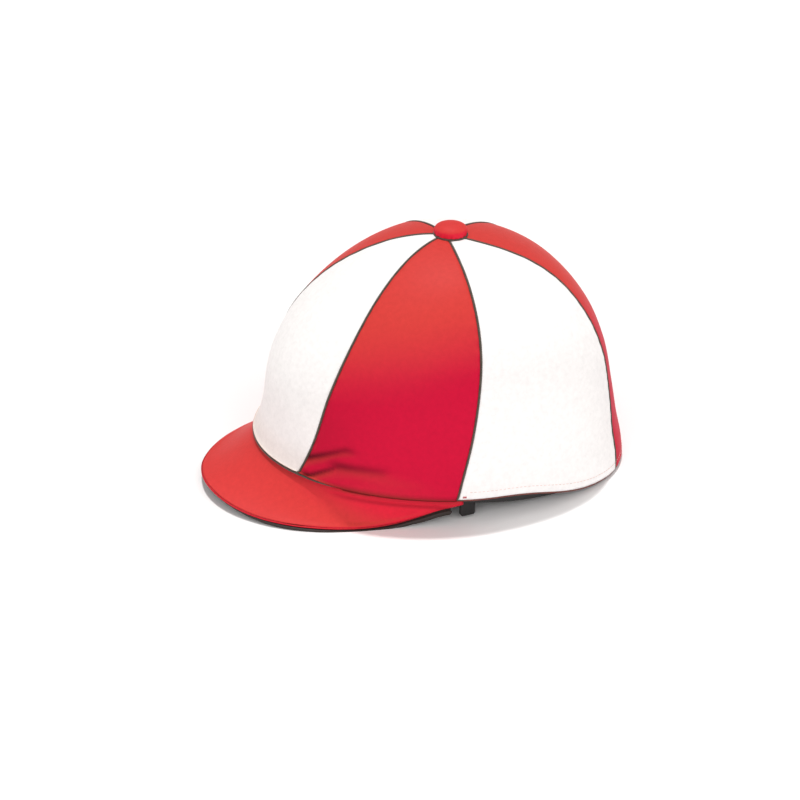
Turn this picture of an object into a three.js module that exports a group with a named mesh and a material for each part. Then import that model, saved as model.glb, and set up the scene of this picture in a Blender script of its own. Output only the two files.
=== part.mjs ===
// A jockey's skull cap: a hard shell under a stretch cover of six gores, a short peak and a covered button.
// Millimetres, +Z up, the front towards -Y and the wearer's left towards +X.
// The cap stands as it would on a table, on the peak's two lower edges and on the rear of its rim at Z = 0.
// The origin lies on the table, below the middle of the cap's length and width.

import * as THREE from 'three';

// The crown over the cloth
const CROWN_HEIGHT = 185;
const FRONT_REACH = 147;
const REAR_REACH = 139;
const HALF_WIDTH = 116;

// Squareness of its level sections: 2 is an ellipse. It changes from the top's to the rim's on the way down,
// and SQUARE_ROW is the row of SECTIONS that has reached the rim's.
const TOP_SQUARENESS = 1.75;
const FRONT_SQUARENESS = 2;
const REAR_SQUARENESS = 2.6;
const SQUARE_ROW = 5;

// The rim of the shell: its height over the table at the brow and the side, how far it would pass below
// the table at the nape if it didn't lie flat there, and how much it stays up at the temples
const BROW_LIFT = 30.4;
const SIDE_LIFT = 11.2;
const NAPE_DIP = 1;
const TEMPLE_RISE = 3.8;

// The cloth kicks out over the peak in front and is drawn in under the rear by its elastic. Each has the
// height over the rim where it starts, and the turns from the front where it is nothing and is whole.
const BROW_KICK = 7.3;
const BROW_KICK_HEIGHT = 34;
const BROW_KICK_NONE = 90;
const BROW_KICK_WHOLE = 40;
const NAPE_TUCK = 2.5;
const NAPE_TUCK_HEIGHT = 22;
const NAPE_TUCK_NONE = 95;
const NAPE_TUCK_WHOLE = 150;

// The cover stands off the shell round its rear corners: how far at the hem, at which turn from the front,
// how far the bulge spreads to either side, and the height over the rim at which it has faded out
const HEM_FLARE = 4.2;
const HEM_FLARE_TURN = 130;
const HEM_FLARE_SPREAD = 28;
const HEM_FLARE_HEIGHT = 40;

// The hem rides up over the ears and bares the shell's rim: how far, at which turn, how far it spreads, and
// the power of the way down by which the rows of the cloth follow it
const HEM_RISE = 4.4;
const HEM_RISE_TURN = 101;
const HEM_RISE_SPREAD = 17;
const HEM_RISE_POWER = 4;

// Walls and clearances
const CLOTH = 1.6;
const SHELL_WALL = 5;
const GAP = 0.3;
const SHELL_GAP = 0.8;

// Seams between the gores, and the narrow edges below them
const SEAM_WIDTH = 1.6;
const SEAM_PROUD = 0.4;
const SEAM_START = 0.018;
const GORE_START = 0.012;
const EDGE_WIDTH = 1.7;
const EDGE_HEIGHT = 1.6;
const PEAK_SEAM_PROUD = 0.4;

// The peak: how far it stands out at the centre front, and the half angle that its cloth spans
const PEAK_REACH = 44.3;
const PEAK_TURN = 74;
const PEAK_SET_BACK = 1.9;
const PEAK_CLOTH = 1.5;
const BOARD_WALL = 3.2;

// The button, and the strap tabs under the ears
const BUTTON_RADIUS = 12.7;
const BUTTON_HEIGHT = 9;
const BUTTON_SET_BACK = 4.3;
const TAB_WIDTH = 12;
const TAB_THICKNESS = 2.5;
const TAB_CORNER = 2;
const TAB_TURN = 76.5;
const TAB_SET_BACK = 0.5;
const TAB_FLOOR_GAP = 2.5;

// Folds of the cloth above the peak's ends: their height, the height of the band that they lie in, the
// share of the gore's width over which one dies out past its end, and what it has lost of its height there
const FOLD_HEIGHT = 1.8;
const FOLD_WIDTH = 4.5;
const FOLD_BAND = 30;
const FOLD_END = 0.06;
const FOLD_FADE = 0.4;

// Sections down the crown. Depth is a share of CROWN_HEIGHT, and the others say how far the cloth stands
// out from the crown's axis, as shares of FRONT_REACH, HALF_WIDTH and REAR_REACH.
const SECTIONS = [
  { depth: 0.0, front: 0.0, side: 0.0, rear: 0.0 },
  { depth: 0.02, front: 0.216, side: 0.281, rear: 0.227 },
  { depth: 0.08, front: 0.432, side: 0.541, rear: 0.453 },
  { depth: 0.18, front: 0.645, side: 0.733, rear: 0.647 },
  { depth: 0.32, front: 0.829, side: 0.867, rear: 0.788 },
  { depth: 0.48, front: 0.942, side: 0.934, rear: 0.868 },
  { depth: 0.66, front: 0.988, side: 0.965, rear: 0.917 },
  { depth: 0.83, front: 1.001, side: 0.984, rear: 0.958 },
  { depth: 1.0, front: 1.0, side: 1.0, rear: 1.0 },
];

// Seams, in degrees round from the front towards the wearer's left, at even steps of the way from the top
// to the rim. The cover is drawn a little to the right, so the seams leave the top unevenly.
const SEAMS = [
  { name: 'left_front', crest: 19.3, upper: 25.9, middle: 27.8, lower: 24.7, rim: 18.7 },
  { name: 'left_side', crest: 82.3, upper: 83.2, middle: 82.6, lower: 78.5, rim: 71.7 },
  { name: 'left_rear', crest: 136.3, upper: 146.5, middle: 145.7, lower: 145, rim: 141 },
  { name: 'right_front', crest: -36.7, upper: -29.3, middle: -27.8, lower: -26.8, rim: -26.5 },
  { name: 'right_side', crest: -86.2, upper: -85.3, middle: -82.6, lower: -78.5, rim: -71.7 },
  { name: 'right_rear', crest: -145.1, upper: -145, middle: -145.7, lower: -145, rim: -141 },
];

// The peak at even steps of its turn, from the centre front to PEAK_TURN. Reach is a share of PEAK_REACH.
// Fall and board say how far the cloth's and the board's edge hang below the rim, as shares of its lift.
// Bulge is how far the section bends up between its two ends, as a share of its width, and sags if negative.
const PEAK_ROWS = [
  { reach: 1.0, fall: 0.7, board: 0.73, bulge: -0.1 },
  { reach: 0.945, fall: 0.755, board: 0.79, bulge: -0.12 },
  { reach: 0.81, fall: 0.85, board: 0.88, bulge: -0.15 },
  { reach: 0.635, fall: 0.91, board: 0.94, bulge: -0.18 },
  { reach: 0.445, fall: 0.945, board: 0.975, bulge: -0.2 },
  { reach: 0.255, fall: 0.98, board: 1.0, bulge: -0.2 },
  { reach: 0.095, fall: 0.98, board: 1.0, bulge: -0.17 },
  { reach: -0.01, fall: 0.9, board: 1.0, bulge: -0.12 },
  { reach: -0.05, fall: 0.7, board: 0.93, bulge: -0.07 },
  { reach: -0.05, fall: 0.43, board: 0.7, bulge: -0.03 },
  { reach: -0.03, fall: 0.12, board: 0.5, bulge: 0.0 },
];

// Folds of the front side gores: their ends as shares across the gore from the front seam and of FOLD_BAND
// above the rim, and their height as a share of FOLD_HEIGHT.
const FOLDS = [
  { across: 0.02, rise: 0.28, toAcross: 0.22, toRise: 0.79, height: 1.0 },
  { across: 0.12, rise: 0.12, toAcross: 0.32, toRise: 0.33, height: 0.9 },
  { across: 0.32, rise: 0.33, toAcross: 0.7, toRise: 0.29, height: 0.6 },
];

// The button's outline from its rim under the cloth to its middle, as shares of its radius and height
const BUTTON_OUTLINE = [
  { out: 0.0, up: 0.0 },
  { out: 0.8, up: 0.0 },
  { out: 0.96, up: 0.16 },
  { out: 1.0, up: 0.42 },
  { out: 0.93, up: 0.68 },
  { out: 0.74, up: 0.88 },
  { out: 0.42, up: 0.98 },
  { out: 0.0, up: 1.0 },
];

// Fineness of the meshes. The rows down the crown are shares of the way from the top to the rim.
const GORE_COLUMNS = { front: 8, frontSide: 11, rearSide: 9, rear: 9 };
const SHELL_STEPS = 36;
const PEAK_SEAM_STEPS = 28;
const HEM_STEPS = 40;
const PEAK_STEPS = 30;
const PEAK_COLUMNS = 5;
const BUTTON_STEPS = 24;
const CORNER_STEPS = 4;
const ROW_SHARES = [
  0.0625, 0.125, 0.1875, 0.25, 0.3125, 0.375, 0.4375, 0.5, 0.5625, 0.625, 0.6875, 0.75, 0.81, 0.86, 0.9,
  0.935, 0.97, 1,
];
const SHELL_ROW_SHARES = [
  0, 0.0625, 0.125, 0.1875, 0.25, 0.3125, 0.375, 0.4375, 0.5625, 0.6875, 0.75, 0.81, 0.86, 0.9, 0.935, 1,
];

// Colours and roughness of what it is made of
const CLOTH_ROUGHNESS = 0.55;
const THREAD_ROUGHNESS = 0.8;
const SHELL_ROUGHNESS = 0.45;
const STRAP_ROUGHNESS = 0.6;
const RED = new THREE.Color(0.73, 0.04, 0.06);
const WHITE = new THREE.Color(0.92, 0.9, 0.88);
const DARK_THREAD = new THREE.Color(0.09, 0.08, 0.05);
const BLACK = new THREE.Color(0.02, 0.02, 0.02);
const HEM_BROWN = new THREE.Color(0.25, 0.07, 0.05);

const radians = THREE.MathUtils.degToRad;

// Smooth curve through the values of a table's rows, at a place counted in rows.
// The row before the first one is given, and the last stretch runs on straight.
function alongRows(values, place, before) {
  const last = values.length - 1;
  const row = Math.min(Math.floor(Math.max(place, 0)), last - 1);
  const t = place - row;
  const a = row === 0 ? before : values[row - 1];
  const b = values[row];
  const c = values[row + 1];
  const d = row + 2 > last ? 2 * values[last] - values[last - 1] : values[row + 2];
  const square = (2 * a - 5 * b + 4 * c - d) * t * t;
  const cube = (3 * b - a - 3 * c + d) * t * t * t;
  return 0.5 * (2 * b + (c - a) * t + square + cube);
}

// Smooth share of the way from one turn to another
function shareBetween(turn, none, whole) {
  const t = THREE.MathUtils.clamp((turn - none) / (whole - none), 0, 1);
  return t * t * (3 - 2 * t);
}

// From 1 at the rim to 0 at a height over it
function fadeUp(above, height) {
  return Math.max(0, 1 - above / height) ** 2;
}

const DEPTHS = SECTIONS.map((row) => row.depth);
const REACHES = {
  front: SECTIONS.map((row) => row.front * FRONT_REACH),
  side: SECTIONS.map((row) => row.side * HALF_WIDTH),
  rear: SECTIONS.map((row) => row.rear * REAR_REACH),
};
const LAST_ROW = SECTIONS.length - 1;

function heightAtRow(row) {
  return CROWN_HEIGHT * (1 - alongRows(DEPTHS, row, DEPTHS[1]));
}

// Row at which the crown has come down to a height, found by halving the stretch that holds it
function rowAtHeight(height) {
  let low = 0;
  let high = LAST_ROW;
  for (let step = 0; step < 40; step += 1) {
    const middle = (low + high) / 2;
    if (heightAtRow(middle) > height) low = middle;
    else high = middle;
  }
  return (low + high) / 2;
}

// Angle away from the centre front, from 0 to 180 degrees, whichever side
function turnFromFront(angle) {
  const turned = THREE.MathUtils.radToDeg(angle);
  return Math.abs(THREE.MathUtils.euclideanModulo(turned + 180, 360) - 180);
}

// Height of the shell's rim over the table
function rimLift(angle) {
  const forward = Math.cos(angle);
  const tilt = ((BROW_LIFT + NAPE_DIP) / 2) * forward;
  const arch = ((BROW_LIFT - NAPE_DIP) / 2 - SIDE_LIFT) * forward * forward;
  const temple = TEMPLE_RISE * forward * (1 - forward * forward);
  return Math.max(0, SIDE_LIFT + tilt + arch + temple);
}

// Distance of the cloth's outer face from the crown's axis
function crownReach(row, angle, height) {
  const facesFront = Math.cos(angle) > 0;
  const side = alongRows(REACHES.side, row, -REACHES.side[1]);
  const ends = facesFront ? REACHES.front : REACHES.rear;
  const end = alongRows(ends, row, -ends[1]);
  const squareness = facesFront ? FRONT_SQUARENESS : REAR_SQUARENESS;
  const squared = THREE.MathUtils.clamp(row / SQUARE_ROW, 0, 1);
  const power = THREE.MathUtils.lerp(TOP_SQUARENESS, squareness, squared);
  const across = Math.abs(Math.sin(angle) / side) ** power;
  const along = Math.abs(Math.cos(angle) / end) ** power;
  const turn = turnFromFront(angle);
  const above = height - rimLift(angle);
  const kick = shareBetween(turn, BROW_KICK_NONE, BROW_KICK_WHOLE) * fadeUp(above, BROW_KICK_HEIGHT);
  const tuck = shareBetween(turn, NAPE_TUCK_NONE, NAPE_TUCK_WHOLE) * fadeUp(above, NAPE_TUCK_HEIGHT);
  return (across + along) ** (-1 / power) + BROW_KICK * kick - NAPE_TUCK * tuck;
}

function crownSurface(share, angle) {
  const row = share * rowAtHeight(rimLift(angle));
  const height = heightAtRow(row);
  if (row < 1e-6) return new THREE.Vector3(0, 0, CROWN_HEIGHT);
  const reach = crownReach(row, angle, height);
  return new THREE.Vector3(reach * Math.sin(angle), -reach * Math.cos(angle), height);
}

function crownNormal(share, angle) {
  if (share < 1e-6) return new THREE.Vector3(0, 0, 1);
  const step = 1e-3;
  const lowShare = Math.min(share + step, 1);
  const down = crownSurface(lowShare, angle).sub(crownSurface(lowShare - 2 * step, angle));
  const round = crownSurface(share, angle + step).sub(crownSurface(share, angle - step));
  return down.cross(round).normalize();
}

// A point of the crown, raised from the cloth's outer face along its normal
function crownPoint(share, angle, raise) {
  return crownSurface(share, angle).addScaledVector(crownNormal(share, angle), raise);
}

// A point beside the crown at a share of the way down: out is level and away from the crown
function besidePoint(share, angle, out, height) {
  const edge = crownSurface(share, angle);
  const outward = crownNormal(1, angle).setZ(0).normalize();
  return edge.addScaledVector(outward, out).setZ(height);
}

// A point beside the rim, up over the shell's rim
function rimPoint(angle, out, up) {
  return besidePoint(1, angle, out, rimLift(angle) + up);
}

function seamAngle(seam, share) {
  const turns = [seam.crest, seam.upper, seam.middle, seam.lower, seam.rim];
  return radians(alongRows(turns, share * (turns.length - 1), 2 * turns[0] - turns[1]));
}

// How far the cover stands off its place against the shell
function hemFlare(angle, above) {
  const away = (turnFromFront(angle) - HEM_FLARE_TURN) / HEM_FLARE_SPREAD;
  return HEM_FLARE * Math.exp(-away * away) * shareBetween(above, HEM_FLARE_HEIGHT, 0);
}

// How far the hem rides up over its place at the rim
function hemRise(angle) {
  const away = (turnFromFront(angle) - HEM_RISE_TURN) / HEM_RISE_SPREAD;
  return HEM_RISE * Math.exp(-away * away);
}

// Share of the way down the crown at which a row of the cloth lies, whose last row ends at the hem
function clothShare(share, angle) {
  const lift = rimLift(angle);
  const last = rowAtHeight(lift + hemRise(angle)) / rowAtHeight(lift);
  return share * (1 - (1 - last) * share ** HEM_RISE_POWER);
}

// A closed mesh from four-cornered faces: shared corners are merged and faces with no area are dropped
function solidFromFaces(faces) {
  const numbers = new Map();
  const positions = [];
  const index = [];
  const cornerNumber = (point) => {
    const key = [point.x, point.y, point.z].map((value) => Math.round(value * 1e4)).join();
    if (!numbers.has(key)) {
      numbers.set(key, numbers.size);
      positions.push(point.x, point.y, point.z);
    }
    return numbers.get(key);
  };
  for (const corners of faces) {
    const [a, b, c, d] = corners.map(cornerNumber);
    for (const triangle of [[a, b, c], [a, c, d]]) {
      if (new Set(triangle).size === 3) index.push(...triangle);
    }
  }
  const geometry = new THREE.BufferGeometry();
  geometry.setAttribute('position', new THREE.Float32BufferAttribute(positions, 3));
  geometry.setIndex(index);
  geometry.computeVertexNormals();
  return geometry;
}

// Faces between two rows of points that have the same number of points
function stripFaces(upper, lower) {
  const faces = [];
  for (let i = 0; i + 1 < upper.length; i += 1) {
    faces.push([upper[i], lower[i], lower[i + 1], upper[i + 1]]);
  }
  return faces;
}

// The same faces seen from behind, split along the same diagonals
function flipped(faces) {
  return faces.map(([a, b, c, d]) => [a, d, c, b]);
}

// A wall between an outer and an inner grid of points, closed along all four edges
function sheetSolid(outer, inner) {
  const faces = [];
  for (let j = 0; j + 1 < outer.length; j += 1) {
    faces.push(...stripFaces(outer[j], outer[j + 1]));
    faces.push(...flipped(stripFaces(inner[j], inner[j + 1])));
  }
  const last = outer.length - 1;
  const firstOf = (grid) => grid.map((row) => row[0]);
  const lastOf = (grid) => grid.map((row) => row[row.length - 1]);
  faces.push(...stripFaces(inner[0], outer[0]));
  faces.push(...stripFaces(outer[last], inner[last]));
  faces.push(...stripFaces(firstOf(outer), firstOf(inner)));
  faces.push(...stripFaces(lastOf(inner), lastOf(outer)));
  return solidFromFaces(faces);
}

// A bar whose section is given at each station, each with the same number of corners, anticlockwise as
// seen by someone looking back along the bar
function barSolid(sections) {
  const faces = [];
  const closed = sections.map((section) => [...section, section[0]]);
  for (let i = 0; i + 1 < closed.length; i += 1) {
    faces.push(...stripFaces(closed[i], closed[i + 1]));
  }
  const first = sections[0];
  const last = sections[sections.length - 1];
  for (let k = 1; k + 1 < first.length; k += 1) {
    faces.push([first[0], first[k], first[k + 1], first[0]]);
    faces.push([last[0], last[k + 1], last[k], last[0]]);
  }
  return solidFromFaces(faces);
}

const cap = new THREE.Group();

function addPiece(name, geometry, color, roughness) {
  const material = new THREE.MeshStandardMaterial({ color, roughness, metalness: 0 });
  const mesh = new THREE.Mesh(geometry, material);
  mesh.name = name;
  cap.add(mesh);
  return mesh;
}

function evenSteps(from, to, count) {
  return Array.from({ length: count + 1 }, (_, i) => from + ((to - from) * i) / count);
}

// Height that the folds add to the cloth at a place on a front side gore
function foldRaise(across, height) {
  let raise = 0;
  for (const fold of FOLDS) {
    const way = THREE.MathUtils.clamp((across - fold.across) / (fold.toAcross - fold.across), 0, 1);
    const past = Math.max(fold.across - across, across - fold.toAcross, 0);
    const line = FOLD_BAND * THREE.MathUtils.lerp(fold.rise, fold.toRise, way);
    const away = Math.hypot((height - line) / FOLD_WIDTH, past / FOLD_END);
    const crest = FOLD_HEIGHT * fold.height * (1 - FOLD_FADE * way);
    raise = Math.max(raise, crest * Math.exp(-away * away));
  }
  return raise;
}

// Height over the shell's rim at which the cloth and its seams end, above the narrow edge
const HEM_LINE = EDGE_HEIGHT + 2 * GAP;

// Gores: each runs between two seams, a clearance short of the seam's thread, and down to the hem line
function addGore(name, firstSeam, secondSeam, columns, color, raiseAt) {
  const outer = [];
  const inner = [];
  for (const share of [GORE_START, ...ROW_SHARES]) {
    const from = firstSeam(share);
    const to = secondSeam(share);
    const half = SEAM_WIDTH / 2 + GAP;
    const startTrim = half / crownSurface(share, from).setZ(0).length();
    const endTrim = half / crownSurface(share, to).setZ(0).length();
    const points = evenSteps(0, 1, columns).map((across) => {
      const angle = THREE.MathUtils.lerp(from + startTrim, to - endTrim, across);
      const down = clothShare(share, angle);
      const hem = rimLift(angle) + hemRise(angle);
      const height = crownSurface(down, angle).z;
      const low = Math.max(0, HEM_LINE - Math.max(0, height - hem));
      const above = height - rimLift(angle);
      const raise = raiseAt(across, above) + hemFlare(angle, above);
      return [raise, raise - CLOTH].map((depth) => {
        const point = crownPoint(down, angle, depth);
        return point.setZ(share === 1 ? hem + low : point.z + low);
      });
    });
    outer.push(points.map((pair) => pair[0]));
    inner.push(points.map((pair) => pair[1]));
  }
  addPiece(name, sheetSolid(outer, inner), color, CLOTH_ROUGHNESS);
}

const [LEFT_FRONT, LEFT_SIDE, LEFT_REAR, RIGHT_FRONT, RIGHT_SIDE, RIGHT_REAR] = SEAMS;
const along = (seam, ahead = 0) => (share) => seamAngle(seam, share) + ahead;
const flat = () => 0;
const foldedFromStart = (across, above) => foldRaise(across, above);
const foldedFromEnd = (across, above) => foldRaise(1 - across, above);

const { front, frontSide, rearSide, rear } = GORE_COLUMNS;
addGore('panel_front', along(RIGHT_FRONT), along(LEFT_FRONT), front, WHITE, flat);
addGore('panel_front_left', along(LEFT_FRONT), along(LEFT_SIDE), frontSide, RED, foldedFromStart);
addGore('panel_rear_left', along(LEFT_SIDE), along(LEFT_REAR), rearSide, WHITE, flat);
addGore('panel_rear', along(LEFT_REAR), along(RIGHT_REAR, 2 * Math.PI), rear, RED, flat);
addGore('panel_rear_right', along(RIGHT_REAR), along(RIGHT_SIDE), rearSide, WHITE, flat);
addGore('panel_front_right', along(RIGHT_SIDE), along(RIGHT_FRONT), frontSide, RED, foldedFromEnd);

// Overlocked seams: a low ridge of dark thread in the channel between two gores
function addSeam(seam) {
  const sections = [SEAM_START, ...ROW_SHARES].map((share) => {
    const angle = seamAngle(seam, share);
    const down = clothShare(share, angle);
    const centre = crownSurface(down, angle);
    const flare = hemFlare(angle, centre.z - rimLift(angle));
    const halfTurn = SEAM_WIDTH / 2 / centre.clone().setZ(0).length();
    const corner = (turn, raise) => {
      const point = crownPoint(down, angle + turn, raise + flare);
      return share === 1 ? point.setZ(rimLift(angle) + hemRise(angle) + HEM_LINE) : point;
    };
    return [
      corner(-halfTurn, -CLOTH),
      corner(-halfTurn, SEAM_PROUD / 4),
      corner(0, SEAM_PROUD),
      corner(halfTurn, SEAM_PROUD / 4),
      corner(halfTurn, -CLOTH),
    ];
  });
  addPiece(`seam_${seam.name}`, barSolid(sections), DARK_THREAD, THREAD_ROUGHNESS);
}

SEAMS.forEach(addSeam);

// Edges below the gores: the dark seam over the peak, and the hem's narrow edge round the rest
function addEdge(name, fromTurn, toTurn, steps, proud, color) {
  const sections = evenSteps(radians(fromTurn), radians(toTurn), steps).map((angle) => {
    const rise = hemRise(angle);
    const flare = hemFlare(angle, rise);
    const corner = (out, up) => (
      besidePoint(clothShare(1, angle), angle, flare + out, rimLift(angle) + rise + up)
    );
    return [
      corner(-EDGE_WIDTH, GAP),
      corner(proud, GAP),
      corner(proud, GAP + EDGE_HEIGHT),
      corner(-EDGE_WIDTH, GAP + EDGE_HEIGHT),
    ];
  });
  addPiece(name, barSolid(sections), color, THREAD_ROUGHNESS);
}

const edgeTrim = THREE.MathUtils.radToDeg(GAP / HALF_WIDTH);
const hemStart = PEAK_TURN + edgeTrim;
addEdge('peak_seam', -PEAK_TURN, PEAK_TURN, PEAK_SEAM_STEPS, PEAK_SEAM_PROUD, DARK_THREAD);
addEdge('hem_edge', hemStart, 360 - hemStart, HEM_STEPS, 0, HEM_BROWN);

// Hard shell under the cloth, open below, with a flat rim that lies on the table at the nape
{
  const angles = evenSteps(0, 2 * Math.PI, SHELL_STEPS);
  const rowsAt = (raise) => SHELL_ROW_SHARES.map((share) => angles.map((angle) => {
    const point = crownPoint(share, angle, raise);
    return share === 1 ? point.setZ(rimLift(angle)) : point;
  }));
  const outer = rowsAt(-CLOTH - SHELL_GAP);
  const inner = rowsAt(-CLOTH - SHELL_GAP - SHELL_WALL);
  const faces = [];
  for (let j = 0; j + 1 < outer.length; j += 1) {
    faces.push(...stripFaces(outer[j], outer[j + 1]));
    faces.push(...flipped(stripFaces(inner[j], inner[j + 1])));
  }
  faces.push(...stripFaces(outer[outer.length - 1], inner[inner.length - 1]));
  addPiece('skull_shell', solidFromFaces(faces), BLACK, SHELL_ROUGHNESS);
}

// A value of the peak's table at a turn counted as a share of PEAK_TURN
function peakValue(column, turn) {
  const values = PEAK_ROWS.map((row) => row[column]);
  return alongRows(values, Math.abs(turn) * (PEAK_ROWS.length - 1), values[1]);
}

// Points across the peak at one turn, from the crown outwards, at a depth below its top face
function peakRow(turn, depth, floor) {
  const lift = rimLift(radians(turn * PEAK_TURN));
  const start = new THREE.Vector2(-PEAK_SET_BACK, -GAP);
  const end = new THREE.Vector2(PEAK_REACH * peakValue('reach', turn), -lift * peakValue('fall', turn));
  const span = end.clone().sub(start);
  const middle = start.clone().add(end).multiplyScalar(0.5);
  middle.add(new THREE.Vector2(-span.y, span.x).multiplyScalar(peakValue('bulge', turn)));
  const curve = new THREE.QuadraticBezierCurve(start, middle, end);
  return evenSteps(0, 1, PEAK_COLUMNS).map((share) => {
    const point = curve.getPoint(share);
    const along = curve.getTangent(share);
    const out = point.x + along.y * depth;
    const up = Math.min(point.y - along.x * depth, -GAP);
    return rimPoint(radians(turn * PEAK_TURN), out, Math.max(up, floor - lift));
  });
}

// The board goes on below the cloth's edge, straight down, and stops one station short of the cloth's ends
function boardRow(turn, depth) {
  const row = peakRow(turn, depth, GAP);
  const further = rimLift(radians(turn * PEAK_TURN)) * (peakValue('board', turn) - peakValue('fall', turn));
  const edge = row[row.length - 1].clone();
  edge.z = Math.max(0, edge.z - further);
  return [...row, edge];
}

const coverTurns = evenSteps(-1, 1, PEAK_STEPS);
const coverTop = coverTurns.map((turn) => peakRow(turn, 0, GAP));
const coverBottom = coverTurns.map((turn) => peakRow(turn, PEAK_CLOTH, GAP));
addPiece('peak_cover', sheetSolid(coverBottom, coverTop), RED, CLOTH_ROUGHNESS);

const boardTurns = coverTurns.slice(1, -1);
const boardTop = boardTurns.map((turn) => boardRow(turn, PEAK_CLOTH + GAP));
const boardBottom = boardTurns.map((turn) => boardRow(turn, PEAK_CLOTH + GAP + BOARD_WALL));
addPiece('peak_board', sheetSolid(boardBottom, boardTop), BLACK, SHELL_ROUGHNESS);

// Covered button: a flattened dome, turned about its own axis
{
  const profile = BUTTON_OUTLINE.map(({ out, up }) => (
    new THREE.Vector2(out * BUTTON_RADIUS, up * BUTTON_HEIGHT)
  ));
  const dome = new THREE.LatheGeometry(profile, BUTTON_STEPS).rotateX(Math.PI / 2);
  const button = addPiece('button', dome, RED, CLOTH_ROUGHNESS);
  button.position.set(0, BUTTON_SET_BACK, CROWN_HEIGHT + SEAM_PROUD + GAP);
}

// Strap tabs: short black tongues below the shell's rim at the ears
for (const [name, side] of [['ear_tab_left', 1], ['ear_tab_right', -1]]) {
  const angle = side * radians(TAB_TURN);
  const middleOfWall = -CLOTH - SHELL_GAP - SHELL_WALL / 2;
  const top = rimPoint(angle, middleOfWall - TAB_SET_BACK, -2 * GAP);
  const drop = top.z - TAB_FLOOR_GAP;
  const half = TAB_WIDTH / 2;
  const topAt = (across) => rimLift(radians(TAB_TURN) + (side * across) / HALF_WIDTH) - rimLift(angle);
  const outline = new THREE.Shape();
  outline.moveTo(-half, topAt(-half));
  outline.lineTo(-half, TAB_CORNER - drop);
  outline.absarc(TAB_CORNER - half, TAB_CORNER - drop, TAB_CORNER, Math.PI, 1.5 * Math.PI);
  outline.absarc(half - TAB_CORNER, TAB_CORNER - drop, TAB_CORNER, 1.5 * Math.PI, 2 * Math.PI);
  outline.lineTo(half, topAt(half));
  const settings = { depth: TAB_THICKNESS, bevelEnabled: false, curveSegments: CORNER_STEPS };
  const tongue = new THREE.ExtrudeGeometry(outline, settings);
  tongue.translate(0, 0, -TAB_THICKNESS / 2).rotateX(Math.PI / 2).rotateZ((side * Math.PI) / 2);
  const tab = addPiece(name, tongue, BLACK, STRAP_ROUGHNESS);
  tab.position.copy(top);
}

// The whole cap, moved so that the origin is below the middle of its box
const box = new THREE.Box3().setFromObject(cap);
cap.position.y = -(box.min.y + box.max.y) / 2;

export default cap;
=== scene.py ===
import math

import bmesh
import bpy
import numpy as np
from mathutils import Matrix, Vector


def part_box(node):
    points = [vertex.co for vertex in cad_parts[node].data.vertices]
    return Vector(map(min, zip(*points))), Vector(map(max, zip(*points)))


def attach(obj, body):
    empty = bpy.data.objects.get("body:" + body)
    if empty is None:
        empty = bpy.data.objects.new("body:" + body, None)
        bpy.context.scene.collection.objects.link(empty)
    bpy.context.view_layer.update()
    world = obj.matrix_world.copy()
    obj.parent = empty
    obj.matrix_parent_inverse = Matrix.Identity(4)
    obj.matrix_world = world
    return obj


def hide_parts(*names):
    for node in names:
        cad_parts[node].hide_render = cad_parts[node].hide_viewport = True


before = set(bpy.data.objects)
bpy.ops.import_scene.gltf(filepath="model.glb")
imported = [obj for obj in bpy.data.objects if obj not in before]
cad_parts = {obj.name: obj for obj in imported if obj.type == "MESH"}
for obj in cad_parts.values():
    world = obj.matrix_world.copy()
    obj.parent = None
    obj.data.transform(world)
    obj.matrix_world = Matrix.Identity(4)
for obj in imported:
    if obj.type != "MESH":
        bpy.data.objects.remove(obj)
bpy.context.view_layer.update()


# The hard skull
# A jockey's skull is a moulded shell of reinforced plastic, about five millimetres thick, finished in satin
# black. Its rim rises from the nape, where it rests on the table, over the ears to the brow. Everything
# else of the cap is stretched over it, so the crown's form is worked out here, in metres.

CROWN_HEIGHT = 0.185
FRONT_REACH = 0.147
REAR_REACH = 0.139
HALF_WIDTH = 0.116
TOP_SQUARENESS = 1.75
FRONT_SQUARENESS = 2.0
REAR_SQUARENESS = 2.6
SQUARE_ROW = 5

BROW_LIFT = 0.0304
SIDE_LIFT = 0.0112
NAPE_DIP = 0.001
TEMPLE_RISE = 0.0038

BROW_KICK = 0.0073
BROW_KICK_HEIGHT = 0.034
BROW_KICK_TURNS = (90, 40)
NAPE_TUCK = 0.0025
NAPE_TUCK_HEIGHT = 0.022
NAPE_TUCK_TURNS = (95, 150)

CLOTH_ROOM = 0.0024
SHELL_WALL = 0.005
RIM_ROUND = 0.0012
RIM_DROP = 0.0024
RIM_DROP_TURN = 88
RIM_DROP_SPREAD = 17
RIM_STEPS = 9
RIM_SQUARENESS = 0.6
SHELL_ROWS = 90
SHELL_STEPS = 180
HALVINGS = 36
SHELL_BLACK = (0.012, 0.011, 0.011)

BUTTON_SET_BACK = 0.0043
button_low, button_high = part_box("button")
AXIS_Y = (button_low.y + button_high.y) / 2 - BUTTON_SET_BACK

# Sections of the crown from its top to its rim: how far down each lies, as a share of CROWN_HEIGHT, and how
# far it reaches to the front, the sides and the rear, as shares of the three reaches
DEPTHS = np.array([0.00, 0.02, 0.08, 0.18, 0.32, 0.48, 0.66, 0.83, 1.00])
FRONTS = FRONT_REACH * np.array([0.000, 0.216, 0.432, 0.645, 0.829, 0.942, 0.988, 1.001, 1.000])
SIDES = HALF_WIDTH * np.array([0.000, 0.281, 0.541, 0.733, 0.867, 0.934, 0.965, 0.984, 1.000])
REARS = REAR_REACH * np.array([0.000, 0.227, 0.453, 0.647, 0.788, 0.868, 0.917, 0.958, 1.000])


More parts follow.
